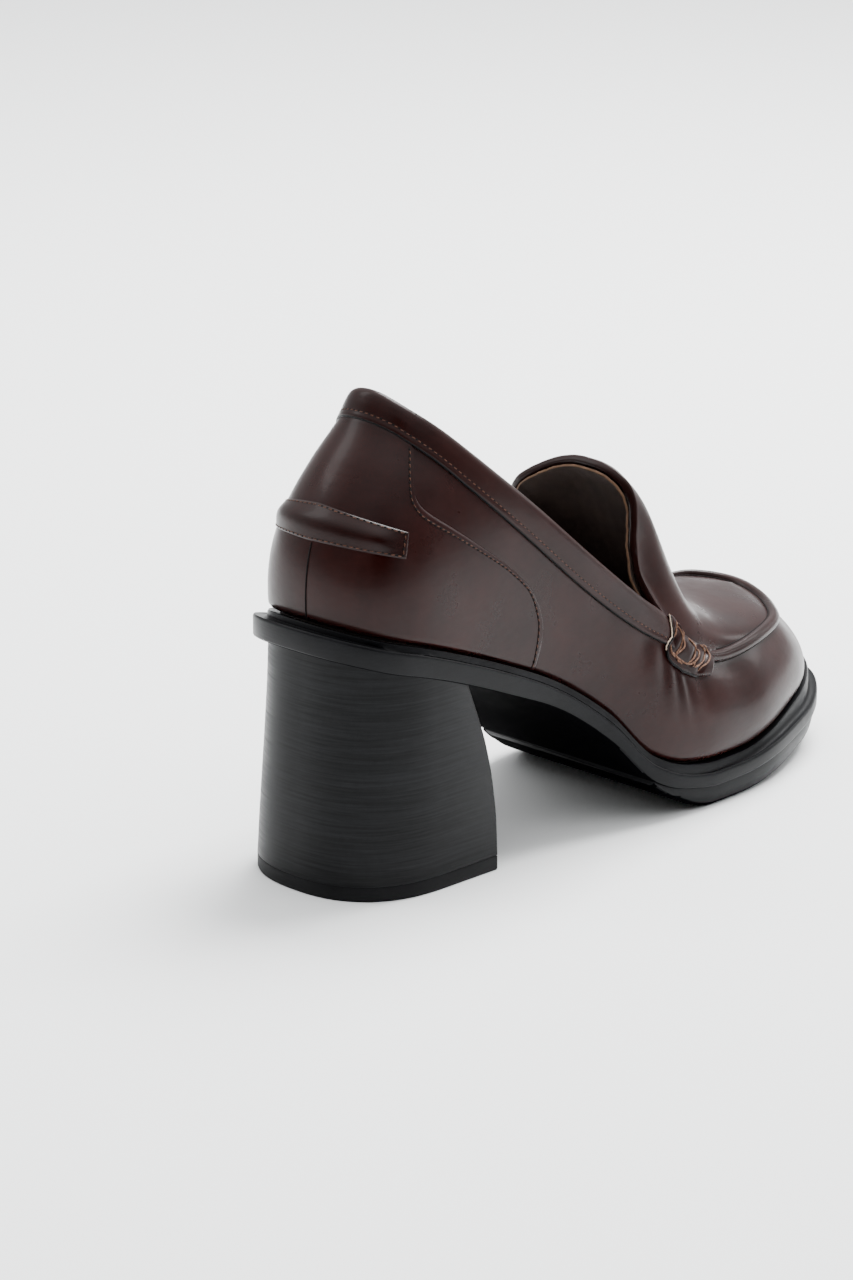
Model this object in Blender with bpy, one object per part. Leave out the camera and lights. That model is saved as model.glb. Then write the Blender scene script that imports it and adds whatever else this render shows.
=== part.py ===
"""A woman's loafer pump: lasted upper, moulded sole unit and block heel. Right shoe."""

import bmesh
import bpy
import math
import numpy as np

MM = 0.001

# Driving sizes in millimetres.
LAST_LENGTH = 218.0
BALL_WIDTH = 75.0
SEAT_BACK = -21.0
HEEL_RISE = 79.0
SHOE_HEIGHT = 143.3
WALL = 1.8
GAP = 0.3
RAND = 1.5
LIP = 4.4
LIFT = 4.5
INSOLE = 2.0
PANEL = 0.9
TAB = 1.1
BINDING_BACK = 8.6
BINDING = 10.4
RIDGE_WIDTH = 4.1
RIDGE_RISE = 2.2
ROLL_RISE = 3.0
ROLL_DEPTH = 15.5
HEEL_WIDTH = 61.6
HEEL_LENGTH = 54.0
HEEL_ROUND = 2.44
TOE_SKEW = 0.12
TOE_TILT = 0.13
TONGUE_REACH = 3.2

# Stations of the last from the back (0) to the toe tip (18). Lengths are shares of LAST_LENGTH from the
# seat's back, widths and swells shares of BALL_WIDTH, heights shares of SHOE_HEIGHT.
# foot, foot_out, foot_in, top, top_out, top_in, top_up, swell_low, swell_high, swell_top, flare
STATIONS = (
    (0.000, 0.000, 0.000, 0.116, 0.000, 0.000, 1.000, 0.130, 0.230, -0.075, 0.087),
    (0.010, 0.180, 0.180, 0.122, 0.087, 0.087, 0.991, 0.130, 0.220, -0.070, 0.085),
    (0.040, 0.297, 0.297, 0.143, 0.164, 0.160, 0.962, 0.120, 0.170, -0.050, 0.066),
    (0.090, 0.355, 0.352, 0.179, 0.227, 0.221, 0.917, 0.085, 0.090, -0.020, 0.034),
    (0.164, 0.371, 0.360, 0.239, 0.301, 0.291, 0.833, 0.045, 0.040, 0.000, 0.025),
    (0.253, 0.373, 0.351, 0.317, 0.351, 0.333, 0.729, 0.027, 0.015, 0.000, 0.025),
    (0.342, 0.377, 0.339, 0.393, 0.379, 0.357, 0.626, 0.020, 0.007, 0.000, 0.027),
    (0.432, 0.411, 0.384, 0.469, 0.389, 0.373, 0.530, 0.027, 0.013, 0.000, 0.030),
    (0.507, 0.464, 0.457, 0.523, 0.389, 0.384, 0.468, 0.053, 0.027, 0.000, 0.035),
    (0.561, 0.486, 0.495, 0.558, 0.387, 0.387, 0.428, 0.080, 0.040, 0.000, 0.040),
    (0.593, 0.490, 0.505, 0.581, 0.395, 0.395, 0.377, 0.093, 0.047, 0.000, 0.043),
    (0.630, 0.490, 0.509, 0.618, 0.407, 0.409, 0.330, 0.100, 0.053, 0.000, 0.046),
    (0.695, 0.478, 0.505, 0.672, 0.396, 0.406, 0.305, 0.100, 0.060, 0.000, 0.051),
    (0.765, 0.446, 0.490, 0.734, 0.372, 0.401, 0.303, 0.100, 0.060, 0.000, 0.057),
    (0.832, 0.384, 0.458, 0.792, 0.327, 0.388, 0.305, 0.093, 0.060, 0.000, 0.060),
    (0.896, 0.306, 0.409, 0.857, 0.236, 0.361, 0.305, 0.080, 0.060, 0.000, 0.061),
    (0.945, 0.203, 0.337, 0.892, 0.124, 0.313, 0.305, 0.067, 0.053, 0.000, 0.061),
    (0.980, 0.072, 0.238, 0.914, 0.015, 0.229, 0.306, 0.060, 0.047, 0.000, 0.062),
    (0.992, -0.093, 0.093, 0.923, -0.113, 0.113, 0.307, 0.060, 0.047, 0.000, 0.062),
)
COLLAR_END = 9
RIDGE_START = 11.75
TAB_END = 2.2
OUTSOLE_START = 8
TIP = len(STATIONS) - 1

# The apron's crown line from the tongue's top edge to the toe: station, across (share of BALL_WIDTH),
# along (share of LAST_LENGTH), up (share of SHOE_HEIGHT).
CROWN = (
    (9, -0.053, 0.541, 0.736),
    (10, -0.053, 0.572, 0.694),
    (11, -0.060, 0.605, 0.588),
    (12, -0.067, 0.646, 0.466),
    (13, -0.080, 0.699, 0.392),
    (14, -0.100, 0.759, 0.366),
    (15, -0.113, 0.814, 0.355),
    (16, -0.120, 0.855, 0.348),
    (17, -0.120, 0.882, 0.342),
    (18, -0.115, 0.896, 0.338),
)

# How the tongue's free edge leaves an even arch: share from seam to crown, then its shift across, along and
# up on the lateral side, and the same on the medial side (shares of BALL_WIDTH).
TONGUE = (
    (0.0, 0.000, 0.000, 0.000, 0.000, 0.000, 0.000),
    (0.1, -0.029, -0.044, 0.005, -0.008, -0.040, 0.016),
    (0.2, -0.049, -0.067, 0.022, -0.020, -0.065, 0.038),
    (0.3, -0.043, -0.055, 0.035, -0.038, -0.073, 0.053),
    (0.4, -0.024, -0.029, 0.046, -0.055, -0.073, 0.056),
    (0.5, -0.004, -0.006, 0.055, -0.057, -0.066, 0.041),
    (0.6, 0.008, 0.000, 0.055, -0.043, -0.052, 0.025),
    (0.7, 0.006, 0.000, 0.047, -0.030, -0.034, 0.011),
    (0.8, 0.002, 0.000, 0.031, -0.018, -0.017, 0.005),
    (0.9, 0.000, 0.000, 0.015, -0.006, -0.005, 0.004),
    (1.0, 0.000, 0.000, 0.007, 0.000, 0.000, 0.007),
)

# Side view of the bottom: along (share of LAST_LENGTH), feather line, lip edge and underside
# (shares of HEEL_RISE).
PROFILE = (
    (-0.040, 1.044, 1.020, 0.933),
    (0.000, 1.008, 0.984, 0.898),
    (0.040, 0.972, 0.948, 0.862),
    (0.090, 0.932, 0.908, 0.823),
    (0.164, 0.861, 0.836, 0.753),
    (0.253, 0.763, 0.738, 0.654),
    (0.342, 0.648, 0.620, 0.545),
    (0.432, 0.475, 0.443, 0.368),
    (0.507, 0.263, 0.230, 0.144),
    (0.561, 0.199, 0.165, 0.046),
    (0.593, 0.182, 0.147, 0.011),
    (0.618, 0.174, 0.140, 0.000),
    (0.685, 0.170, 0.142, 0.000),
    (0.765, 0.196, 0.162, 0.016),
    (0.834, 0.232, 0.182, 0.040),
    (0.899, 0.261, 0.197, 0.064),
    (0.949, 0.282, 0.213, 0.087),
    (1.000, 0.304, 0.230, 0.106),
    (1.040, 0.318, 0.243, 0.122),
)

# The heel block from the floor up: share of height, half width, back and breast positions
# (half width as share of HEEL_WIDTH, back and breast as shares of HEEL_LENGTH from its middle).
HEEL = (
    (0.00, 0.500, -0.500, 0.500),
    (0.20, 0.492, -0.483, 0.500),
    (0.45, 0.480, -0.458, 0.482),
    (0.65, 0.472, -0.438, 0.446),
    (0.82, 0.466, -0.423, 0.390),
    (1.00, 0.462, -0.413, 0.312),
)

# Top edge of the counter ahead of the back: station, share of the wall's height.
COUNTER_TOP = (
    (2.13, 0.90),
    (2.15, 0.80),
    (2.19, 0.72),
    (2.28, 0.66),
    (2.55, 0.62),
    (2.95, 0.60),
    (3.45, 0.59),
    (4.00, 0.58),
    (4.45, 0.57),
    (4.78, 0.55),
    (5.03, 0.52),
    (5.20, 0.48),
    (5.35, 0.42),
    (5.47, 0.32),
    (5.52, 0.20),
    (5.55, 0.06),
)

# Roll patch: station, depth down the wall and reach over the apron (shares of ROLL_DEPTH), height
# (share of ROLL_RISE).
ROLL = (
    (9.05, 1.00, 0.02, 0.40),
    (9.20, 1.00, 0.08, 0.70),
    (9.50, 0.93, 0.18, 0.90),
    (10.00, 0.78, 0.22, 1.00),
    (10.60, 0.60, 0.23, 1.00),
    (11.20, 0.45, 0.23, 0.95),
    (11.50, 0.38, 0.22, 0.80),
    (11.65, 0.33, 0.20, 0.50),
)


def monotone(rows, column, at):
    """Smooth curve through a table's rows that stays flat between equal values."""
    x = np.array([row[0] for row in rows], float)
    y = np.array([row[column] for row in rows], float)
    step = np.diff(x)
    slope = np.diff(y) / step
    tangent = np.zeros(len(x))
    tangent[0] = slope[0]
    tangent[-1] = slope[-1]
    for i in range(1, len(x) - 1):
        if slope[i - 1] * slope[i] > 0:
            near = 2 * step[i] + step[i - 1]
            far = step[i] + 2 * step[i - 1]
            tangent[i] = (near + far) / (near / slope[i - 1] + far / slope[i])
    at = np.clip(at, x[0], x[-1])
    i = int(np.clip(np.searchsorted(x, at) - 1, 0, len(step) - 1))
    t = (at - x[i]) / step[i]
    rise = step[i] * (tangent[i] * t * (1 - t) ** 2 - tangent[i + 1] * t * t * (1 - t))
    return y[i] + (y[i + 1] - y[i]) * t * t * (3 - 2 * t) + rise


def along(share):
    return SEAT_BACK + LAST_LENGTH * share


def level(y, column):
    """Height of the feather line (1), lip edge (2) or underside (3) at a length y."""
    return HEEL_RISE * monotone(PROFILE, column, (y - SEAT_BACK) / LAST_LENGTH)


def ring_rows():
    """The stations as one closed ring: lateral side from the back to the tip, then the medial side back."""
    rows = []
    for i in list(range(TIP + 1)) + list(range(-TIP + 1, 0)):
        row = STATIONS[abs(i)]
        side = -1 if i < 0 else 1
        ramp = min(max((row[0] - 0.6) / 0.3, 0), 1)
        foot_x = BALL_WIDTH * row[1 if side > 0 else 2] * side
        top_x = BALL_WIDTH * row[4 if side > 0 else 5] * side
        skew = TOE_SKEW * ramp
        tilt = TOE_TILT * ramp * max(-top_x, 0)
        rows.append(
            (
                foot_x,
                along(row[0]) - skew * foot_x,
                top_x,
                along(row[3]) - skew * top_x,
                SHOE_HEIGHT * row[6] + tilt,
                BALL_WIDTH * row[7],
                BALL_WIDTH * row[8],
                BALL_WIDTH * row[9],
                BALL_WIDTH * row[10],
            )
        )
    return np.array(rows)


RING = ring_rows()


def ring_tangents():
    count = len(RING)
    system = 4 * np.eye(count) + np.roll(np.eye(count), 1, 0) + np.roll(np.eye(count), -1, 0)
    return np.linalg.solve(system, 3 * (np.roll(RING, -1, 0) - np.roll(RING, 1, 0)))


TANGENTS = ring_tangents()


def ring(q):
    """The ring's values at station q, positive on the lateral side and negative on the medial one."""
    base = math.floor(q)
    t = q - base
    i = base % len(RING)
    j = (base + 1) % len(RING)
    a, b = RING[i], RING[j]
    blend = a + (b - a) * t * t * (3 - 2 * t)
    return blend + TANGENTS[i] * t * (1 - t) ** 2 - TANGENTS[j] * t * t * (1 - t)


def outward(q):
    """Level direction square to the feather line at station q."""
    step = ring(q + 0.01)[:2] - ring(q - 0.01)[:2]
    out = np.array([step[1], -step[0], 0.0])
    return out / np.linalg.norm(out)


def foot(q, out=0.0):
    x, y = ring(q)[:2]
    point = np.array([x, y, 0.0]) + outward(q) * out
    point[2] = level(point[1], 1)
    return point


def top(q):
    values = ring(q)
    return np.array([values[2], values[3], values[4]])


def wall(q, v):
    """The upper's outer surface between the feather line (v = 0) and the collar or apron seam (v = 1)."""
    low, high = foot(q), top(q)
    values = ring(q)
    w = 1 - v
    swell = 3 * w * w * v * values[5] + 3 * w * v * v * values[6] + 9.5 * w * v**3 * values[7]
    return low + (high - low) * v + outward(q) * swell


def crown(q):
    q = abs(q)
    return np.array(
        [
            BALL_WIDTH * monotone(CROWN, 1, q),
            along(monotone(CROWN, 2, q)),
            SHOE_HEIGHT * monotone(CROWN, 3, q),
        ]
    )


def apron(q, w):
    """The apron and tongue across station q, from the seam (w = 0) to the crown line (w = 1)."""
    edge, peak = top(q), crown(q)
    angle = (1 - w) * math.pi / 2
    across, rise = math.sin(angle), math.cos(angle)
    x = peak[0] + (edge[0] - peak[0]) * across
    y = peak[1] + (edge[1] - peak[1]) * (1 - rise)
    z = edge[2] + (peak[2] - edge[2]) * rise
    return np.array([x, y, z]) + tongue_shift(q, w)


def tongue_shift(q, w):
    """Shift of the even arch at station q, strongest at the tongue's free edge."""
    share = min((abs(q) - COLLAR_END) / TONGUE_REACH, 1)
    if share == 1:
        return np.zeros(3)
    fade = 1 - share * share * (3 - 2 * share)
    first = 1 if q > 0 else 4
    return BALL_WIDTH * fade * np.array([monotone(TONGUE, column, w) for column in range(first, first + 3)])


def facing(surface, q, v):
    """Outward unit normal of a surface function."""
    v = min(max(v, 0.01), 0.99)
    length = surface(q + 0.01, v) - surface(q - 0.01, v)
    height = surface(q, v + 0.01) - surface(q, v - 0.01)
    normal = np.cross(length, height)
    return normal / np.linalg.norm(normal)


def down(q, distance):
    """The wall's v at a distance below its top edge."""
    shares = np.linspace(1, 0, 33)
    points = np.array([wall(q, v) for v in shares])
    run = np.concatenate([[0], np.cumsum(np.linalg.norm(np.diff(points, axis=0), axis=1))])
    return float(np.interp(distance, run, shares))


def inward(q, distance):
    """The apron's w at a distance inside its seam."""
    shares = np.linspace(0, 1, 33)
    points = np.array([apron(q, w) for w in shares])
    run = np.concatenate([[0], np.cumsum(np.linalg.norm(np.diff(points, axis=0), axis=1))])
    return float(np.interp(distance, run, shares))


def material(name, colour, roughness, metallic=0.0):
    made = bpy.data.materials.new(name)
    made.use_nodes = True
    shader = made.node_tree.nodes["Principled BSDF"]
    shader.inputs["Base Color"].default_value = (*colour, 1)
    shader.inputs["Roughness"].default_value = roughness
    shader.inputs["Metallic"].default_value = metallic
    return made


def add_grid(bm, columns, rows, place):
    """Adds a grid whose vertex (i, j) sits at place(i, j), in millimetres."""
    grid = bmesh.ops.create_grid(bm, x_segments=columns - 1, y_segments=rows - 1, size=0.5)
    for vert in grid["verts"]:
        i = round((vert.co.x + 0.5) * (columns - 1))
        j = round((vert.co.y + 0.5) * (rows - 1))
        vert.co = [value * MM for value in place(i, j)]


def finish(name, bm, look, angle=40):
    bmesh.ops.remove_doubles(bm, verts=bm.verts, dist=1e-6)
    bmesh.ops.dissolve_degenerate(bm, edges=bm.edges, dist=1e-6)
    bmesh.ops.recalc_face_normals(bm, faces=bm.faces)
    mesh = bpy.data.meshes.new(name)
    bm.to_mesh(mesh)
    bm.free()
    mesh.materials.append(look)
    mesh.shade_smooth()
    mesh.set_sharp_from_angle(angle=math.radians(angle))
    thing = bpy.data.objects.new(name, mesh)
    bpy.context.scene.collection.objects.link(thing)
    return thing


def sheet(name, look, grids, thickness, outside):
    """A sheet of one or more grids, given a thickness inward or, with outside = 1, outward."""
    bm = bmesh.new()
    for columns, rows, place in grids:
        add_grid(bm, columns, rows, place)
    thing = finish(name, bm, look)
    centre = np.array([0.0, along(0.45), HEEL_RISE]) * MM
    mesh = thing.data
    facing_out = sum(
        face.area * float(np.dot(face.normal, np.array(face.center) - centre)) for face in mesh.polygons
    )
    if facing_out < 0:
        mesh.flip_normals()
    solid = thing.modifiers.new("thickness", "SOLIDIFY")
    solid.thickness = thickness * MM
    solid.offset = 1.0 if outside else -1.0
    return thing


def loft(name, look, rings, angle=40):
    """A solid through closed rings of points in millimetres. Open ends are filled."""
    bm = bmesh.new()
    around = len(rings[0])
    add_grid(bm, len(rings), around + 1, lambda i, j: rings[i][j % around])
    bmesh.ops.remove_doubles(bm, verts=bm.verts, dist=1e-6)
    bmesh.ops.holes_fill(bm, edges=bm.edges, sides=0)
    return finish(name, bm, look, angle)


def stations(first, last, step):
    return np.linspace(first, last, round((last - first) / step) + 1)


def slab(name, look, places, section):
    """A solid across the last: section(q) gives one side's points from top to bottom."""
    rings = [section(q) + section(-q)[::-1] for q in places]
    return loft(name, look, rings)


def make_upper(look):
    columns = np.concatenate(
        [stations(-TIP, -COLLAR_END, 0.5)[:-1], stations(-COLLAR_END, COLLAR_END, 0.5)]
        + [stations(COLLAR_END, TIP, 0.5)[1:]]
    )
    rows = 13
    front = stations(COLLAR_END, TIP, 0.5)
    across = 17

    def wall_place(i, j):
        return wall(columns[i], j / (rows - 1))

    def apron_place(i, j):
        share = j / (across - 1)
        if share <= 0.5:
            return apron(front[i], share * 2)
        return apron(-front[i], (1 - share) * 2)

    grids = ((len(columns), rows, wall_place), (len(front), across, apron_place))
    return sheet("upper", look, grids, WALL, 0)


def sole_section(q):
    flare = ring(q)[8]
    inner = foot(q, -WALL)
    inner[2] -= GAP
    rand = foot(q, RAND)
    rand[2] -= GAP
    step = foot(q, RAND + 0.2)
    step[2] = level(step[1], 2) + 0.2
    channel = foot(q, max(RAND + 0.35, flare * 0.55))
    channel[2] = level(channel[1], 2) - 0.3
    crest = foot(q, flare - 0.6)
    crest[2] = level(crest[1], 2)
    side = foot(q, flare)
    side[2] = level(side[1], 2) - 0.6
    low = foot(q, flare)
    low[2] = split(low[1]) + 0.6
    base = foot(q, flare - 0.6)
    base[2] = split(base[1])
    if flare < RAND + 0.9:
        step = foot(q, flare - 0.55)
        step[2] = level(step[1], 2) + 0.5
        channel = foot(q, flare - 0.45)
        channel[2] = level(channel[1], 2) + 0.25
        crest = foot(q, flare - 0.35)
        crest[2] = level(crest[1], 2)
        rand = foot(q, min(RAND, flare - 0.6))
        rand[2] -= GAP
    return [inner, rand, step, channel, crest, side, low, base]


def split(y):
    """Joint between the sole unit and the forefoot's lower layer."""
    share = (y - SEAT_BACK) / LAST_LENGTH
    ease = min(max((share - 0.42) / 0.16, 0), 1)
    ease = ease * ease * (3 - 2 * ease)
    lip = level(y, 2)
    single = level(y, 3)
    layered = lip - LIP
    return single + (layered - single) * ease


def outsole_section(q):
    inset = ring(q)[8] - 1.0
    points = []
    for out, rise in ((inset - 0.5, 0), (inset, -0.4), (inset, -2.2), (inset - 0.9, -9), (inset - 2.6, -9)):
        point = foot(q, out)
        ceiling = split(point[1]) - GAP
        floor = level(point[1], 3)
        if rise == -9:
            point[2] = floor + (0.9 if out > inset - 2 else 0.0)
        else:
            point[2] = max(ceiling + rise, floor + 1.0)
        point[2] = min(point[2], ceiling)
        points.append(point)
    return points


def insole_section(q):
    points = []
    for out, rise in ((-WALL - 1.6, INSOLE), (-WALL - 1.0, INSOLE - 0.6), (-WALL - 0.6, 0.0)):
        point = foot(q, out)
        point[2] = level(point[1], 1) + rise
        points.append(point)
    return points


def heel_ring(share, height):
    """Plan of the heel at a share of its height, with z given by height(x, y)."""
    half = HEEL_WIDTH * monotone(HEEL, 1, share)
    back = HEEL_LENGTH * monotone(HEEL, 2, share)
    breast = HEEL_LENGTH * monotone(HEEL, 3, share)
    middle = HEEL_LENGTH * 0.10
    points = []
    for x in np.linspace(-1, 1, 7):
        points.append((x * half, breast))
    for angle in np.linspace(0, math.pi, 33):
        c, s = math.cos(angle), math.sin(angle)
        x = math.copysign(abs(c) ** (2 / HEEL_ROUND), c) * half
        y = middle - abs(s) ** (2 / HEEL_ROUND) * (middle - back)
        points.append((x, y))
    return [np.array([x, y, height(x, y)]) for x, y in points]


def make_heel(look, lift_look):
    rings = []
    for share in (0, 0.02, 0.1, 0.2, 0.33, 0.45, 0.55, 0.65, 0.74, 0.82, 0.91, 1.0):
        low = LIFT + GAP
        rings.append(
            heel_ring(share, lambda x, y: low + (level(y, 3) - GAP - low) * share)
        )
    loft("heel_block", look, [cap(rings[0])] + rings + [cap(rings[-1])])
    lift = [heel_ring(0.0, lambda x, y, z=z: z) for z in (0.4, LIFT)]
    bottom = [point * np.array([0.985, 0.985, 0]) for point in lift[0]]
    loft("top_lift", lift_look, [cap(bottom), bottom] + lift + [cap(lift[-1])])


def cap(points):
    """The ring drawn in to its own middle, as a fan."""
    middle = np.mean(points, axis=0)
    return [middle for _ in points]


def band(name, look, places, edges, rise, thickness, rows):
    """A plate over the wall between two v limits at each station."""

    def place(i, j):
        q = places[i]
        low, high = edges(q)
        v = low + (high - low) * j / (rows - 1)
        return wall(q, v) + facing(wall, q, v) * rise

    return sheet(name, look, ((len(places), rows, place),), thickness, 1)


def binding_width(q):
    ease = min(max((abs(q) - 1.5) / 2, 0), 1)
    return BINDING_BACK + (BINDING - BINDING_BACK) * ease


def counter_edges(q):
    limit = down(q, binding_width(q) + GAP + 0.2)
    if abs(q) < COUNTER_TOP[0][0]:
        return 0.02, limit
    return 0.02, min(monotone(COUNTER_TOP, 1, abs(q)), limit)


def make_counter(look):
    side = np.array([row[0] for row in COUNTER_TOP])
    places = np.concatenate([-side[::-1], np.linspace(-side[0], side[0], 19)[1:-1], side])
    band("counter_panel", look, places, counter_edges, GAP, PANEL, 8)


def tab_edges(q):
    share = min(abs(q) / TAB_END, 1)
    return 0.372 + 0.018 * share, 0.533 - 0.023 * share


def seam_section(q, below, inside, heights):
    """Cross-section of a raised seam at station q: distances down the wall and over the apron from the
    seam line, with a height at each."""
    points, normals = [], []
    for distance in below:
        v = down(q, distance)
        points.append(wall(q, v))
        normals.append(facing(wall, q, v))
    points.append(top(q))
    front = math.copysign(max(abs(q), COLLAR_END + 0.02), q)
    normals.append(facing(wall, q, 0.99) + facing(apron, front, 0.05))
    for distance in inside:
        w = inward(q, distance)
        points.append(apron(q, w))
        normals.append(facing(apron, q, max(w, 0.02)))
    normals = [normal / np.linalg.norm(normal) for normal in normals]
    under = [point + normal * GAP for point, normal in zip(points, normals)]
    over = [point + normal * (GAP + rise) for point, normal, rise in zip(points, normals, heights)]
    return under + over[::-1]


def make_ridge(look):
    half = RIDGE_WIDTH / 2
    heights = (0.5, RIDGE_RISE * 0.85, RIDGE_RISE, RIDGE_RISE * 0.85, 0.5)
    rings = []
    for q in np.linspace(RIDGE_START, 2 * TIP - RIDGE_START, 25):
        q = q if q <= TIP else q - 2 * TIP
        rings.append(seam_section(q, (half, half * 0.5), (half * 0.5, half), heights))
    loft("apron_ridge", look, rings)


def make_roll(name, look, side):
    rings = []
    for q in np.linspace(ROLL[0][0], ROLL[-1][0], 14):
        depth = ROLL_DEPTH * monotone(ROLL, 1, q)
        reach = ROLL_DEPTH * monotone(ROLL, 2, q)
        rise = ROLL_RISE * monotone(ROLL, 3, q)
        below = (depth, depth * 0.7, min(6.0, depth * 0.5), 2.5)
        heights = [0.9] + [0.9 + (rise - 0.9) * max(0, 1 - (d / 6.5) ** 2) for d in below[1:]]
        heights += [rise, 0.9 + (rise - 0.9) * 0.8, 0.6]
        rings.append(seam_section(q * side, below, (reach * 0.5, reach), heights))
    loft(name, look, rings)


def build():
    for thing in list(bpy.data.objects):
        bpy.data.objects.remove(thing, do_unlink=True)
    leather = material("upper_leather", (0.055, 0.016, 0.014), 0.35)
    edge_leather = material("trim_leather", (0.050, 0.014, 0.013), 0.38)
    rubber = material("sole_rubber", (0.012, 0.012, 0.013), 0.55)
    stack = material("heel_stack", (0.014, 0.014, 0.015), 0.45)
    lining = material("lining_leather", (0.16, 0.10, 0.06), 0.7)

    make_upper(leather)
    slab("sole", rubber, stations(0, TIP, 0.5), sole_section)
    slab("outsole", rubber, stations(OUTSOLE_START, TIP, 0.5), outsole_section)
    slab("insole", lining, stations(0, TIP, 0.5), insole_section)
    make_heel(stack, rubber)
    band(
        "collar_binding",
        edge_leather,
        np.linspace(-COLLAR_END + 0.08, COLLAR_END - 0.08, 39),
        lambda q: (down(q, binding_width(q)), down(q, 0.5)),
        GAP,
        PANEL,
        5,
    )
    make_counter(leather)
    band("heel_tab", edge_leather, np.linspace(-TAB_END, TAB_END, 19), tab_edges, 2 * GAP + PANEL, TAB, 4)
    make_ridge(edge_leather)
    make_roll("roll_patch_lateral", edge_leather, 1)
    make_roll("roll_patch_medial", edge_leather, -1)


build()
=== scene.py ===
"""Looks of the loafer pump: polished leather upper, stitched panels, black sole unit and stacked heel."""

import functools
import math

import bmesh
import bpy
import numpy as np
from mathutils import Matrix, Vector


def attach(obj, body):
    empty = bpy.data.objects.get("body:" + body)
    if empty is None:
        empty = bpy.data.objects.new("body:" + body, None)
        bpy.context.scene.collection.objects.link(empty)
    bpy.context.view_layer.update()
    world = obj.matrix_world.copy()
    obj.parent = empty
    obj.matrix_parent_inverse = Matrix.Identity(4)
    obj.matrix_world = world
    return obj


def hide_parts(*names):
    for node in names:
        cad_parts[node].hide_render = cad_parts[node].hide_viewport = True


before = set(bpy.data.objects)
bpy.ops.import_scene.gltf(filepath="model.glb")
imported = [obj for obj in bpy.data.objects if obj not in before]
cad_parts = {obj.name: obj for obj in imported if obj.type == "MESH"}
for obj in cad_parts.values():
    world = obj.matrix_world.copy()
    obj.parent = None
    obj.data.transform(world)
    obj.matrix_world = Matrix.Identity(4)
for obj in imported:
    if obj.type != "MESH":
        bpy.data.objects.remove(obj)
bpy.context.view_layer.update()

MM = 0.001

# Points closer than MERGE in metres are one, and an edge shorter than SLIVER goes. A face whose normal
# points further down than DOWNWARD is the sole's underside, which gets a darker, duller rubber as painted
# shade.
MERGE = 2e-6
SLIVER = 1e-7
DOWNWARD = -0.62

# Driving sizes in millimetres, the same as the solids'. TOE_SKEW, TOE_TILT, HEEL_ROUND and STITCH_LEAN are
# plain numbers, TONGUE_REACH is in stations and TAB_STITCH a share of the wall's height.
LAST_LENGTH = 218.0
BALL_WIDTH = 75.0
SEAT_BACK = -21.0
HEEL_RISE = 79.0
SHOE_HEIGHT = 143.3
WALL = 1.8
RAND = 1.5
LIP = 4.4
LIFT = 4.5
BINDING_BACK = 8.6
BINDING = 10.4
RIDGE_WIDTH = 4.1
RIDGE_RISE = 2.2
ROLL_RISE = 3.0
ROLL_DEPTH = 15.5
HEEL_WIDTH = 61.6
HEEL_LENGTH = 54.0
HEEL_ROUND = 2.44
BREAST_CORNER = 0.5
TOE_SKEW = 0.12
TOE_TILT = 0.13
TONGUE_REACH = 3.2
CUP_FULLNESS = 0.65
COUNTER_RISE = 0.52
TAB_RISE = 0.80
TAB_EDGE = 0.45
TAB_PUFF = 1.15
STITCH_PITCH = 1.95
STITCH_LENGTH = 1.3
STITCH_LEAN = 0.12
THREAD_RADIUS = 0.2
SEAM_RADIUS = 0.26
WHIP_RADIUS = 0.27
BINDING_STITCH = 2.0
TAB_STITCH = 0.013

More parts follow.
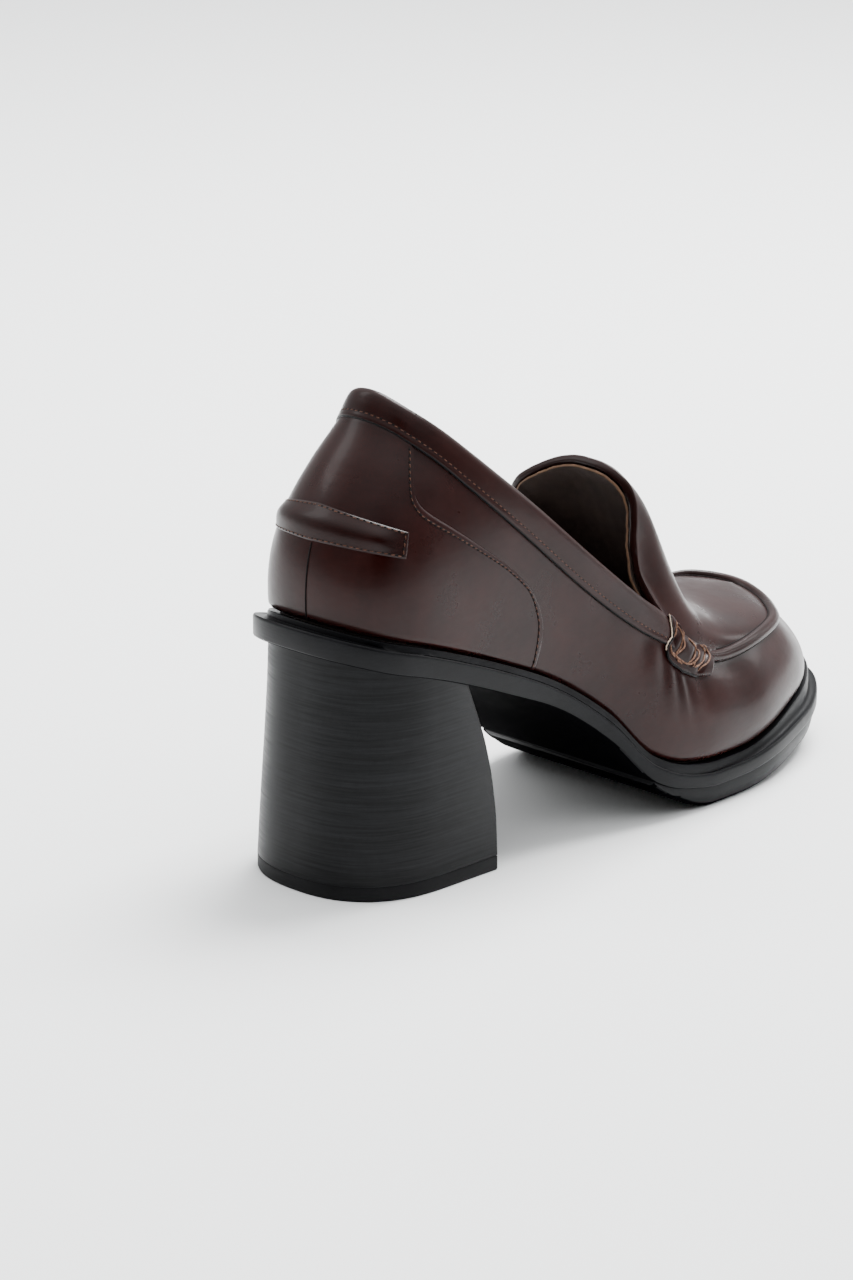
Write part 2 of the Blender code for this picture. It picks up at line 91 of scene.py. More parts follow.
# Stations of the last from the back (0) to the toe tip (18). Lengths are shares of LAST_LENGTH from the
# seat's back, widths and swells shares of BALL_WIDTH, heights shares of SHOE_HEIGHT.
# foot, foot_out, foot_in, top, top_out, top_in, top_up, swell_low, swell_high, swell_top, flare
STATIONS = (
    (0.000, 0.000, 0.000, 0.116, 0.000, 0.000, 1.000, 0.130, 0.230, -0.075, 0.087),
    (0.010, 0.180, 0.180, 0.122, 0.087, 0.087, 0.991, 0.130, 0.220, -0.070, 0.085),
    (0.040, 0.297, 0.297, 0.143, 0.164, 0.160, 0.962, 0.120, 0.170, -0.050, 0.066),
    (0.090, 0.355, 0.352, 0.179, 0.227, 0.221, 0.917, 0.085, 0.090, -0.020, 0.034),
    (0.164, 0.371, 0.360, 0.239, 0.301, 0.291, 0.833, 0.045, 0.040, 0.000, 0.025),
    (0.253, 0.373, 0.351, 0.317, 0.351, 0.333, 0.729, 0.027, 0.015, 0.000, 0.025),
    (0.342, 0.377, 0.339, 0.393, 0.379, 0.357, 0.626, 0.020, 0.007, 0.000, 0.027),
    (0.432, 0.411, 0.384, 0.469, 0.389, 0.373, 0.530, 0.027, 0.013, 0.000, 0.030),
    (0.507, 0.464, 0.457, 0.523, 0.389, 0.384, 0.468, 0.053, 0.027, 0.000, 0.035),
    (0.561, 0.486, 0.495, 0.558, 0.387, 0.387, 0.428, 0.080, 0.040, 0.000, 0.040),
    (0.593, 0.490, 0.505, 0.581, 0.395, 0.395, 0.377, 0.093, 0.047, 0.000, 0.043),
    (0.630, 0.490, 0.509, 0.618, 0.407, 0.409, 0.330, 0.100, 0.053, 0.000, 0.046),
    (0.695, 0.478, 0.505, 0.672, 0.396, 0.406, 0.305, 0.100, 0.060, 0.000, 0.051),
    (0.765, 0.446, 0.490, 0.734, 0.372, 0.401, 0.303, 0.100, 0.060, 0.000, 0.057),
    (0.832, 0.384, 0.458, 0.792, 0.327, 0.388, 0.305, 0.093, 0.060, 0.000, 0.060),
    (0.896, 0.306, 0.409, 0.857, 0.236, 0.361, 0.305, 0.080, 0.060, 0.000, 0.061),
    (0.945, 0.203, 0.337, 0.892, 0.124, 0.313, 0.305, 0.067, 0.053, 0.000, 0.061),
    (0.980, 0.072, 0.238, 0.914, 0.015, 0.229, 0.306, 0.060, 0.047, 0.000, 0.062),
    (0.992, -0.093, 0.093, 0.923, -0.113, 0.113, 0.307, 0.060, 0.047, 0.000, 0.062),
)
COLLAR_END = 9
RIDGE_START = 11.75
TAB_END = 2.2
OUTSOLE_START = 8
TIP = len(STATIONS) - 1

# The apron's crown line from the tongue's top edge to the toe: station, across (share of BALL_WIDTH),
# along (share of LAST_LENGTH), up (share of SHOE_HEIGHT).
CROWN = (
    (9, -0.053, 0.541, 0.736),
    (10, -0.053, 0.572, 0.694),
    (11, -0.060, 0.605, 0.588),
    (12, -0.067, 0.646, 0.466),
    (13, -0.080, 0.699, 0.392),
    (14, -0.100, 0.759, 0.366),
    (15, -0.113, 0.814, 0.355),
    (16, -0.120, 0.855, 0.348),
    (17, -0.120, 0.882, 0.342),
    (18, -0.115, 0.896, 0.338),
)

# How the tongue's free edge leaves an even arch: share from seam to crown, then its shift across, along and
# up on the lateral side, and the same on the medial side (shares of BALL_WIDTH).
TONGUE = (
    (0.0, 0.000, 0.000, 0.000, 0.000, 0.000, 0.000),
    (0.1, -0.029, -0.044, 0.005, -0.008, -0.040, 0.016),
    (0.2, -0.049, -0.067, 0.022, -0.020, -0.065, 0.038),
    (0.3, -0.043, -0.055, 0.035, -0.038, -0.073, 0.053),
    (0.4, -0.024, -0.029, 0.046, -0.055, -0.073, 0.056),
    (0.5, -0.004, -0.006, 0.055, -0.057, -0.066, 0.041),
    (0.6, 0.008, 0.000, 0.055, -0.043, -0.052, 0.025),
    (0.7, 0.006, 0.000, 0.047, -0.030, -0.034, 0.011),
    (0.8, 0.002, 0.000, 0.031, -0.018, -0.017, 0.005),
    (0.9, 0.000, 0.000, 0.015, -0.006, -0.005, 0.004),
    (1.0, 0.000, 0.000, 0.007, 0.000, 0.000, 0.007),
)

# Side view of the bottom: along (share of LAST_LENGTH), feather line, lip edge and underside
# (shares of HEEL_RISE).
PROFILE = (
    (-0.040, 1.044, 1.020, 0.933),
    (0.000, 1.008, 0.984, 0.898),
    (0.040, 0.972, 0.948, 0.862),
    (0.090, 0.932, 0.908, 0.823),
    (0.164, 0.861, 0.836, 0.753),
    (0.253, 0.763, 0.738, 0.654),
    (0.342, 0.648, 0.620, 0.545),
    (0.432, 0.475, 0.443, 0.368),
    (0.507, 0.263, 0.230, 0.144),
    (0.561, 0.199, 0.165, 0.046),
    (0.593, 0.182, 0.147, 0.011),
    (0.618, 0.174, 0.140, 0.000),
    (0.685, 0.170, 0.142, 0.000),
    (0.765, 0.196, 0.162, 0.016),
    (0.834, 0.232, 0.182, 0.040),
    (0.899, 0.261, 0.197, 0.064),
    (0.949, 0.282, 0.213, 0.087),
    (1.000, 0.304, 0.230, 0.106),
    (1.040, 0.318, 0.243, 0.122),
)

# The heel block from the floor up: share of height, half width, back and breast positions
# (half width as share of HEEL_WIDTH, back and breast as shares of HEEL_LENGTH from its middle).
HEEL = (
    (0.00, 0.500, -0.500, 0.500),
    (0.20, 0.492, -0.483, 0.500),
    (0.45, 0.480, -0.458, 0.482),
    (0.65, 0.472, -0.438, 0.446),
    (0.82, 0.466, -0.423, 0.390),
    (1.00, 0.462, -0.413, 0.312),
)

# Top edge of the counter ahead of the back: station, share of the wall's height.
COUNTER_TOP = (
    (2.13, 0.90), (2.15, 0.80), (2.19, 0.72), (2.28, 0.66), (2.55, 0.62), (2.95, 0.60),
    (3.45, 0.59), (4.00, 0.58), (4.45, 0.57), (4.78, 0.55), (5.03, 0.52), (5.20, 0.48),
    (5.35, 0.42), (5.47, 0.32), (5.52, 0.20), (5.55, 0.06),
)

# Stitch line of the counter: share of the wall's height, station.
COUNTER_STITCH = (
    (0.030, 5.45), (0.060, 5.45), (0.180, 5.43), (0.315, 5.37), (0.405, 5.25), (0.495, 5.02),
    (0.530, 4.70), (0.550, 4.25), (0.555, 3.63), (0.565, 2.90), (0.600, 2.36), (0.655, 2.15),
    (0.750, 2.07), (0.845, 2.03),
)

# Roll patch: station, depth down the wall and reach over the apron (shares of ROLL_DEPTH), height
# (share of ROLL_RISE).
ROLL = (
    (9.05, 1.00, 0.02, 0.40),
    (9.20, 1.00, 0.08, 0.70),
    (9.50, 0.93, 0.18, 0.90),
    (10.00, 0.78, 0.22, 1.00),
    (10.60, 0.60, 0.23, 1.00),
    (11.20, 0.45, 0.23, 0.95),
    (11.50, 0.38, 0.22, 0.80),
    (11.65, 0.33, 0.20, 0.50),
)

# Soft gathers in the wall below the roll patches and round the toe: station at the upper end and at the
# lower end, upper and lower share of the wall's height, half width in stations, height in millimetres.
GATHERS = (
    (7.75, 7.35, 0.74, 0.30, 0.24, -0.16),
    (8.10, 7.75, 0.74, 0.28, 0.22, 0.19),
    (8.42, 8.12, 0.71, 0.22, 0.16, -0.22),
    (8.66, 8.46, 0.69, 0.20, 0.13, 0.17),
    (8.90, 8.84, 0.67, 0.18, 0.15, -0.22),
    (9.14, 9.27, 0.65, 0.22, 0.12, 0.16),
    (9.50, 9.75, 0.67, 0.20, 0.22, -0.17),
    (10.05, 10.25, 0.70, 0.30, 0.22, 0.07),
    (10.65, 10.95, 0.76, 0.25, 0.34, -0.14),
    (11.50, 11.75, 0.82, 0.22, 0.40, 0.14),
    (12.35, 12.60, 0.86, 0.28, 0.42, -0.13),
    (13.10, 13.25, 0.86, 0.35, 0.36, 0.09),
    (13.95, 14.00, 0.86, 0.35, 0.34, -0.07),
)

# Soft folds of the apron: station, share from seam to crown (negative on the medial side), half length in
# stations, half width as a share, height in millimetres.
APRON_FOLDS = (
    (11.6, 0.45, 0.7, 0.22, -0.7),
    (12.6, 0.62, 0.7, 0.25, 0.5),
    (13.6, 0.50, 0.8, 0.25, -0.35),
    (11.8, -0.50, 0.8, 0.25, -0.6),
    (12.9, -0.60, 0.8, 0.25, 0.4),
)


@functools.lru_cache(maxsize=None)
def slopes(rows, column):
    x = np.array([row[0] for row in rows], float)
    y = np.array([row[column] for row in rows], float)
    step = np.diff(x)
    slope = np.diff(y) / step
    tangent = np.zeros(len(x))
    tangent[0] = slope[0]
    tangent[-1] = slope[-1]
    for i in range(1, len(x) - 1):
        if slope[i - 1] * slope[i] > 0:
            near = 2 * step[i] + step[i - 1]
            far = step[i] + 2 * step[i - 1]
            tangent[i] = (near + far) / (near / slope[i - 1] + far / slope[i])
    return x, y, tangent


def curve(rows, column, at):
    """Smooth curve through a table's rows that stays flat between equal values."""
    x, y, tangent = slopes(rows, column)
    at = np.clip(np.asarray(at, float), x[0], x[-1])
    i = np.clip(np.searchsorted(x, at) - 1, 0, len(x) - 2)
    step = x[i + 1] - x[i]
    t = (at - x[i]) / step
    rise = step * (tangent[i] * t * (1 - t) ** 2 - tangent[i + 1] * t * t * (1 - t))
    return y[i] + (y[i + 1] - y[i]) * t * t * (3 - 2 * t) + rise


def ease(low, high, value):
    t = np.clip((np.asarray(value, float) - low) / (high - low), 0, 1)
    return t * t * (3 - 2 * t)


def along(share):
    return SEAT_BACK + LAST_LENGTH * share


# A point inside the shoe, from which every skin faces away.
MIDDLE = (0, along(0.45), HEEL_RISE)


def level(y, column):
    """Height of the feather line (1), lip edge (2) or underside (3) at a length y."""
    return HEEL_RISE * curve(PROFILE, column, (y - SEAT_BACK) / LAST_LENGTH)


def ring_rows():
    """The stations as one closed ring: lateral side from the back to the tip, then the medial side back."""
    rows = []
    for i in list(range(TIP + 1)) + list(range(-TIP + 1, 0)):
        row = STATIONS[abs(i)]
        side = -1 if i < 0 else 1
        ramp = min(max((row[0] - 0.6) / 0.3, 0), 1)
        foot_x = BALL_WIDTH * row[1 if side > 0 else 2] * side
        top_x = BALL_WIDTH * row[4 if side > 0 else 5] * side
        skew = TOE_SKEW * ramp
        tilt = TOE_TILT * ramp * max(-top_x, 0)
        place = (foot_x, along(row[0]) - skew * foot_x, top_x, along(row[3]) - skew * top_x)
        rows.append([*place, SHOE_HEIGHT * row[6] + tilt, *(BALL_WIDTH * value for value in row[7:11])])
    return np.array(rows)


RING = ring_rows()
COUNT = len(RING)
SYSTEM = 4 * np.eye(COUNT) + np.roll(np.eye(COUNT), 1, 0) + np.roll(np.eye(COUNT), -1, 0)
TANGENTS = np.linalg.solve(SYSTEM, 3 * (np.roll(RING, -1, 0) - np.roll(RING, 1, 0)))


def ring(q):
    """The ring's values at stations q, positive on the lateral side and negative on the medial one."""
    base = np.floor(q)
    t = (q - base)[:, None]
    i = base.astype(int) % COUNT
    j = (i + 1) % COUNT
    blend = RING[i] + (RING[j] - RING[i]) * t * t * (3 - 2 * t)
    return blend + TANGENTS[i] * t * (1 - t) ** 2 - TANGENTS[j] * t * t * (1 - t)


def unit(vectors):
    return vectors / np.linalg.norm(vectors, axis=1)[:, None]


def lift(points, normals, height):
    """Points moved along their normals."""
    return points + normals * np.broadcast_to(height, len(points))[:, None]


def outward(q):
    """Level direction square to the feather line at stations q."""
    step = ring(q + 0.01)[:, :2] - ring(q - 0.01)[:, :2]
    return unit(np.column_stack([step[:, 1], -step[:, 0], np.zeros(len(q))]))


def foot(q, out=0.0):
    """The feather line at stations q, moved outwards."""
    values = ring(q)
    points = lift(np.column_stack([values[:, 0], values[:, 1], np.zeros(len(q))]), outward(q), out)
    points[:, 2] = level(points[:, 1], 1)
    return points


def top(q):
    """The collar, and ahead of it the apron's seam."""
    return ring(q)[:, 2:5]


def wall(q, v):
    """The upper's outer surface between the feather line (v = 0) and the collar or apron seam (v = 1)."""
    low, high = foot(q), top(q)
    values = ring(q)
    w = 1 - v
    swell = 3 * w * w * v * values[:, 5] + 3 * w * v * v * values[:, 6] + 9.5 * w * v**3 * values[:, 7]
    return lift(low + (high - low) * v[:, None], outward(q), swell)


def crown(q):
    """The apron's highest line, from the tongue's top edge to the toe."""
    x, y, z = (curve(CROWN, column, np.abs(q)) for column in (1, 2, 3))
    return np.column_stack([BALL_WIDTH * x, along(y), SHOE_HEIGHT * z])


def apron(q, w):
    """The apron and tongue across stations q, from the seam (w = 0) to the crown line (w = 1)."""
    edge, peak = top(q), crown(q)
    angle = (1 - w) * math.pi / 2
    across, rise = np.sin(angle), np.cos(angle)
    x = peak[:, 0] + (edge[:, 0] - peak[:, 0]) * across
    y = peak[:, 1] + (edge[:, 1] - peak[:, 1]) * (1 - rise)
    z = edge[:, 2] + (peak[:, 2] - edge[:, 2]) * rise
    return np.column_stack([x, y, z]) + tongue_shift(q, w)


def tongue_shift(q, w):
    """Shift of the even arch at stations q, strongest at the tongue's free edge."""
    fade = 1 - ease(COLLAR_END, COLLAR_END + TONGUE_REACH, np.abs(q))
    lateral = np.column_stack([curve(TONGUE, column, w) for column in (1, 2, 3)])
    medial = np.column_stack([curve(TONGUE, column, w) for column in (4, 5, 6)])
    return BALL_WIDTH * fade[:, None] * np.where((q > 0)[:, None], lateral, medial)


def facing(surface, q, v):
    """Outward unit normals of a surface function."""
    v = np.clip(v, 0.01, 0.99)
    length = surface(q + 0.01, v) - surface(q - 0.01, v)
    height = surface(q, v + 0.01) - surface(q, v - 0.01)
    return unit(np.cross(length, height))


def share_at(surface, q, distance, start, end):
    """The share of a surface at a distance from its start, for each station."""
    shares = np.linspace(start, end, 49)
    result = np.empty(len(q))
    known, index = np.unique(np.round(q, 6), return_inverse=True)
    for k, station in enumerate(known):
        points = surface(np.full(len(shares), station), shares)
        run = np.concatenate([[0], np.cumsum(np.linalg.norm(np.diff(points, axis=0), axis=1))])
        mine = index.reshape(-1) == k
        result[mine] = np.interp(distance[mine], run, shares)
    return result


def down(q, distance):
    """The wall's v at a distance below its top edge."""
    return share_at(wall, q, distance, 1, 0)


def inward(q, distance):
    """The apron's w at a distance inside its seam."""
    return share_at(apron, q, distance, 0, 1)


def gathers(q, v):
    """Height of the soft gathers in the wall."""
    total = np.zeros(len(q))
    for upper, lower, high, low, half, height in GATHERS:
        share = np.clip((high - v) / (high - low), -1, 2)
        middle = upper + (lower - upper) * share
        spread = half * (0.8 + 0.7 * np.clip(share, 0, 1))
        fade = ease(-0.12, 0.08, share) * (1 - ease(0.15, 1.0, share))
        for side, size in ((1, 1.0), (-1, 0.8)):
            total += height * size * fade * np.exp(-(((q * side - middle) / spread) ** 2))
    return total


def cup(q, v):
    """Fullness of the stiffened heel cup."""
    return CUP_FULLNESS * (1 - ease(2.6, 5.2, np.abs(q))) * (1 - ease(0.70, 0.90, v)) * ease(0.0, 0.05, v)


def skin(q, v, height=0.0):
    """The leather's outer surface with its gathers, tucked in over the rand."""
    rise = np.linalg.norm(top(q) - foot(q), axis=1) * v
    tuck = -1.5 * (1 - np.clip(rise / 2.8, 0, 1)) ** 2
    return lift(wall(q, v), facing(wall, q, v), gathers(q, v) + cup(q, v) + tuck + height)


def apron_skin(q, w, height=0.0):
    """The apron's outer surface with its soft folds where the tongue bends."""
    at = np.abs(q)
    folds = np.zeros(len(q))
    for station, share, along_size, across_size, rise in APRON_FOLDS:
        side = 1 if share > 0 else -1
        near = np.exp(-(((at - station) / along_size) ** 2) - (((w - abs(share)) / across_size) ** 2))
        folds += rise * near * (q * side > 0)
    folds *= ease(0.0, 0.15, w) * ease(0.0, 0.12, 1 - w)
    return lift(apron(q, w), facing(apron, q, w), folds + height)


def seam(q, s, height):
    """Points round the apron seam: s is the distance down the wall, or over the apron where negative."""
    s = np.broadcast_to(s, q.shape).astype(float)
    at = np.sign(q) * np.maximum(np.abs(q), COLLAR_END + 0.02)
    v = down(q, np.maximum(s, 0))
    w = inward(at, np.maximum(-s, 0))
    points = np.where((s >= 0)[:, None], wall(q, v), apron(at, w))
    blend = ease(-2.2, 2.2, s)[:, None]
    low = facing(wall, q, np.minimum(v, 0.99))
    high = facing(apron, at, np.maximum(w, 0.02))
    return lift(points, unit(low * blend + high * (1 - blend)), height)


def collar(q, s, height):
    """Points round the topline: s is the distance down the wall, or up past its edge where negative."""
    s = np.broadcast_to(s, q.shape).astype(float)
    v = down(q, np.maximum(s, 0))
    rise = unit(wall(q, np.full(len(q), 1.0)) - wall(q, np.full(len(q), 0.96)))
    return lift(lift(wall(q, v), rise, np.maximum(-s, 0)), facing(wall, q, v), height)


def binding_width(q):
    return BINDING_BACK + (BINDING - BINDING_BACK) * np.clip((np.abs(q) - 1.5) / 2, 0, 1)


# Shader helpers.


class Value:
    """A node's output that takes part in sums, so that an expression adds its Math nodes."""

    def __init__(self, finish, socket):
        self.finish = finish
        self.socket = socket

    def math(self, operation, first, second):
        return self.finish.node("ShaderNodeMath", {"operation": operation}, {0: first, 1: second})

    def __add__(self, other):
        return self.math("ADD", self, other)

    __radd__ = __add__

    def __sub__(self, other):
        return self.math("SUBTRACT", self, other)

    def __rsub__(self, other):
        return self.math("SUBTRACT", other, self)

    def __mul__(self, other):
        return self.math("MULTIPLY", self, other)

    __rmul__ = __mul__


class Finish:
    """A material under construction: a Principled shader with nodes added to it."""

    def __init__(self, name, settings):
        self.material = bpy.data.materials.new(name)
        self.material.use_nodes = True
        self.tree = self.material.node_tree
        self.shader = self.tree.nodes["Principled BSDF"]
        for key, value in settings.items():
            self.set(key, value)

    def set(self, socket, value):
        self.plug(self.shader.inputs[socket], value)

    def plug(self, socket, value):
        if isinstance(value, Value):
            self.tree.links.new(value.socket, socket)
        elif isinstance(value, tuple) and len(value) == 3 and socket.type == "RGBA":
            socket.default_value = (*value, 1)
        else:
            socket.default_value = value

    def node(self, kind, settings=None, sockets=None, output=0):
        """Adds a node of any type with its settings and the values or links of its sockets."""
        made = self.tree.nodes.new(kind)
        for key, value in (settings or {}).items():
            setattr(made, key, value)
        for key, value in (sockets or {}).items():
            self.plug(made.inputs[key], value)
        return Value(self, made.outputs[output])

    def place(self, scale=(1, 1, 1)):
        """Object coordinates in metres, stretched."""
        plain = self.node("ShaderNodeTexCoord", output="Object")
        return self.node("ShaderNodeMapping", {}, {"Vector": plain, "Scale": scale})

    def noise(self, where, scale, detail=2.0, rough=0.5):
        sockets = {"Vector": where, "Scale": scale, "Detail": detail, "Roughness": rough}
        return self.node("ShaderNodeTexNoise", {}, sockets)

    def spread(self, value, low, high, start=0.0, end=1.0):
        sockets = {"Value": value, "From Min": low, "From Max": high, "To Min": start, "To Max": end}
        return self.node("ShaderNodeMapRange", {}, sockets)

    def dye(self, tone, first, second):
        """Sets the base colour between two shades."""
        sockets = {"Factor": tone, 6: first, 7: second}
        self.set("Base Color", self.node("ShaderNodeMix", {"data_type": "RGBA"}, sockets, output=2))

    def bump(self, height, distance, strength, under=None):
        sockets = {"Height": height, "Distance": distance, "Strength": strength}
        if under is not None:
            sockets["Normal"] = under
        return self.node("ShaderNodeBump", {}, sockets)


def leather(name, deep, warm, roughness=0.3):
    """Smooth polished leather: mottled dye, fine grain, a little wrinkle and an even polish."""
    finish = Finish(name, {"Coat Weight": 0.05, "Coat Roughness": 0.07, "IOR": 1.245})
    where = finish.place()
    mottle = finish.noise(where, 38, 3, 0.55)
    cloud = finish.noise(where, 160, 4, 0.6)
    tone = finish.spread(mottle * 0.75 + cloud * 0.25, 0.36, 0.64)
    finish.dye(tone, deep, warm)
    polish = finish.spread(finish.noise(where, 70, 3, 0.6), 0.3, 0.7, roughness - 0.05, roughness + 0.07)
    finish.set("Roughness", polish)
    cells = finish.node("ShaderNodeTexVoronoi", {"feature": "SMOOTH_F1"}, {"Vector": where, "Scale": 1150})
    pores = finish.noise(where, 1700, 2, 0.6)
    wrinkle = finish.noise(finish.place((1.0, 1.0, 2.6)), 210, 2, 0.5)
    height = cells * 0.6 + pores * 0.4
    fine = finish.bump(height, 0.00002, 0.12)
    finish.set("Normal", finish.bump(wrinkle, 0.00014, 0.3, fine))
    return finish.material


def painted_edge(name="painted_edge", colour=(0.004, 0.004, 0.0045), roughness=0.4):
    finish = Finish(name, {"Base Color": colour, "Roughness": roughness, "IOR": 1.2})
    where = finish.place()
    finish.set("Normal", finish.bump(finish.noise(where, 900, 3), 0.0001, 0.4))
    return finish.material


def rubber(name, colour, roughness, streak=0.3, index=1.2):
    finish = Finish(name, {"IOR": index})
    where = finish.place()
    fine = finish.noise(where, 1500, 3, 0.6)
    broad = finish.noise(where, 60, 3, 0.6)
    light = tuple(value * 2.2 for value in colour)
    finish.dye(finish.spread(broad, 0.3, 0.7), colour, light)
    finish.set("Roughness", finish.spread(broad, 0.3, 0.7, roughness - 0.06, roughness + 0.08))
    lines = finish.noise(finish.place((0.05, 0.05, 1.0)), 1300, 3, 0.55)
    under = finish.bump(fine, 0.00003, 0.5)
    finish.set("Normal", finish.bump(lines, 0.00012, streak, under))
    return finish.material


def stacked():
    """Black stack: fine level lines of uneven strength, satin."""
    finish = Finish("stacked_black", {"IOR": 1.2})
    fine = finish.noise(finish.place((0.03, 0.03, 1.0)), 1300, 4, 0.65)
    broad = finish.noise(finish.place((0.10, 0.10, 1.0)), 240, 3, 0.5)
    lines = fine * 0.7 + broad * 0.3
    tone = finish.spread(lines, 0.40, 0.64)
    finish.dye(tone, (0.0015, 0.0016, 0.0020), (0.0100, 0.0103, 0.0115))
    finish.set("Roughness", finish.spread(lines, 0.38, 0.62, 0.28, 0.46))
    grain = finish.bump(finish.noise(finish.place(), 1800, 2), 0.00002, 0.4)
    finish.set("Normal", finish.bump(lines, 0.00004, 0.35, grain))
    return finish.material


def suede(name, colour, light):
    finish = Finish(name, {"Roughness": 0.85})
    where = finish.place()
    tone = finish.spread(finish.noise(where, 120, 4, 0.6), 0.3, 0.7)
    finish.dye(tone, colour, light)
    finish.set("Normal", finish.bump(finish.noise(where, 1500, 3, 0.7), 0.0002, 0.5))
    return finish.material


def thread(name, colour, light):
    finish = Finish(name, {"Roughness": 0.6, "IOR": 1.25})
    where = finish.place()
    tone = finish.spread(finish.noise(where, 1400, 2, 0.6), 0.35, 0.65)
    finish.dye(tone, colour, light)
    finish.set("Normal", finish.bump(finish.noise(where, 5200, 2), 0.0001, 0.6))
    return finish.material


LEATHER = leather("polished_leather", (0.0105, 0.0022, 0.0019), (0.0195, 0.0042, 0.0034))
TRIM = leather("trim_leather", (0.0090, 0.0020, 0.0017), (0.0165, 0.0037, 0.0030), 0.31)
EDGE = painted_edge()
RUBBER = rubber("moulded_black", (0.0028, 0.0029, 0.0034), 0.36)
# A darker, duller copy of the black rubber for faces that point down: painted shade under the sole.
SHADED_UNDERSIDE = rubber("underside_painted_shade", (0.0008, 0.0008, 0.0010), 0.75, 0.1, 1.03)
LIFT_RUBBER = rubber("lift_black", (0.0030, 0.0030, 0.0034), 0.5)
STACK = stacked()
LINING = suede("lining", (0.030, 0.0170, 0.0130), (0.052, 0.0300, 0.0230))
TAN = suede("lining_edge", (0.09, 0.043, 0.021), (0.15, 0.078, 0.042))
SOCK = suede("insole_cover", (0.014, 0.0075, 0.006), (0.024, 0.013, 0.010))
THREAD = thread("thread", (0.040, 0.015, 0.009), (0.085, 0.035, 0.021))
WHIP_THREAD = thread("whip_thread", (0.060, 0.024, 0.014), (0.21, 0.115, 0.075))
# The raw leather layer's pale colour, which also paints the highlight its thin edge catches.
RAW_EDGE_AND_HIGHLIGHT = suede("pale_raw_edge_with_highlight", (0.30, 0.22, 0.16), (0.45, 0.36, 0.28))
# Near-black marks that paint the shade in stitch holes, seam grooves and creases.
GROOVE_SHADE = painted_edge("painted_groove_shade", (0.004, 0.0025, 0.0025), 0.7)


# Mesh helpers.


def sheet(bm, us, vs, place):
    """Adds a grid whose points sit at place(u, v), in millimetres."""
    made = bmesh.ops.create_grid(bm, x_segments=len(us) - 1, y_segments=len(vs) - 1, size=0.5)
    flat = np.array([vert.co[:2] for vert in made["verts"]]) + 0.5
    i = np.rint(flat[:, 0] * (len(us) - 1)).astype(int)
    j = np.rint(flat[:, 1] * (len(vs) - 1)).astype(int)
    points = place(us[i], vs[j]) * MM
    for vert, point in zip(made["verts"], points):
        vert.co = point


def finish_piece(name, bm, looks, replaces=(), angle=None, flip_to=None):
    """Turns a bmesh into a piece that rides on the shoe."""
    bmesh.ops.remove_doubles(bm, verts=bm.verts, dist=MERGE)
    bmesh.ops.dissolve_degenerate(bm, edges=bm.edges, dist=SLIVER)
    bmesh.ops.recalc_face_normals(bm, faces=bm.faces)
    mesh = bpy.data.meshes.new(name)
    bm.to_mesh(mesh)
    bm.free()
    if flip_to is not None:
        centre = Vector(flip_to) * MM
        if sum(face.area * face.normal.dot(face.center - centre) for face in mesh.polygons) < 0:
            mesh.flip_normals()
    mesh.shade_smooth()
    if angle:
        mesh.set_sharp_from_angle(angle=math.radians(angle))
    for look in looks:
        mesh.materials.append(look)
    # Faces that point down get the darker rubber as painted shade.
    if SHADED_UNDERSIDE in looks:
        for face in mesh.polygons:
            face.material_index = 1 if face.normal.z < DOWNWARD else 0
    piece = bpy.data.objects.new(name, mesh)
    bpy.context.scene.collection.objects.link(piece)
    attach(piece, "root")
    if replaces:
        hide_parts(*replaces)
    return piece


def add_wall_thickness(piece, thickness, inner=0, rim=0, round_off=0.0):
    """Gives a skin its thickness inwards; inner and rim count on to the materials of those faces."""
    solid = piece.modifiers.new("wall", "SOLIDIFY")
    solid.thickness = thickness * MM
    solid.offset = -1.0
    solid.material_offset = inner
    solid.material_offset_rim = rim
    if round_off:
        bevel = piece.modifiers.new("edges", "BEVEL")
        bevel.width = round_off * MM
        bevel.segments = 3
        bevel.limit_method = "ANGLE"
        bevel.angle_limit = math.radians(60)


def loft(bm, rings):
    """Skins closed rings of points, given as (rings, points, 3) in millimetres, and closes its ends."""
    count, around = rings.shape[:2]

    def place(u, v):
        return rings[np.rint(u).astype(int), np.rint(v).astype(int) % around]

    sheet(bm, np.arange(count), np.arange(around + 1), place)
    bmesh.ops.remove_doubles(bm, verts=bm.verts, dist=MERGE)
    bmesh.ops.holes_fill(bm, edges=[edge for edge in bm.edges if edge.is_boundary], sides=0)


def section_loft(bm, q, section, surface):
    """Skins a closed section along stations: section(q) gives (s, height) rows for one station."""
    rings = []
    for station in q:
        rows = section(station)
        rings.append(surface(np.full(len(rows), station), rows[:, 0], rows[:, 1]))
    loft(bm, np.array(rings))


def rounded(points, steps=4, width=0.35):
    """A closed outline with each corner drawn round."""
    points = np.asarray(points, float)
    result = []
    for k, point in enumerate(points):
        before = points[k - 1] - point
        after = points[(k + 1) % len(points)] - point
        reach = min(width, 0.45 * np.linalg.norm(before), 0.45 * np.linalg.norm(after))
        start = point + before / max(np.linalg.norm(before), 1e-9) * reach
        end = point + after / max(np.linalg.norm(after), 1e-9) * reach
        for t in np.linspace(0, 1, steps):
            result.append(start * (1 - t) ** 2 + point * 2 * t * (1 - t) + end * t * t)
    return np.array(result)


def stitch_path(points, normals):
    """Even places along a path: middle, direction and normal of each stitch."""
    run = np.concatenate([[0], np.cumsum(np.linalg.norm(np.diff(points, axis=0), axis=1))])
    count = max(int(run[-1] / STITCH_PITCH), 1)
    middles = (np.arange(count) + 0.5) * run[-1] / count

    def read(rows, s):
        return np.column_stack([np.interp(s, run, rows[:, k]) for k in range(3)])

    directions = read(points, middles + 0.4) - read(points, middles - 0.4)
    return zip(read(points, middles), directions, read(normals, middles))


# Lays a ball's poles along its thread.
BEAD_TURN = Matrix.Rotation(math.pi / 2, 4, "Y")


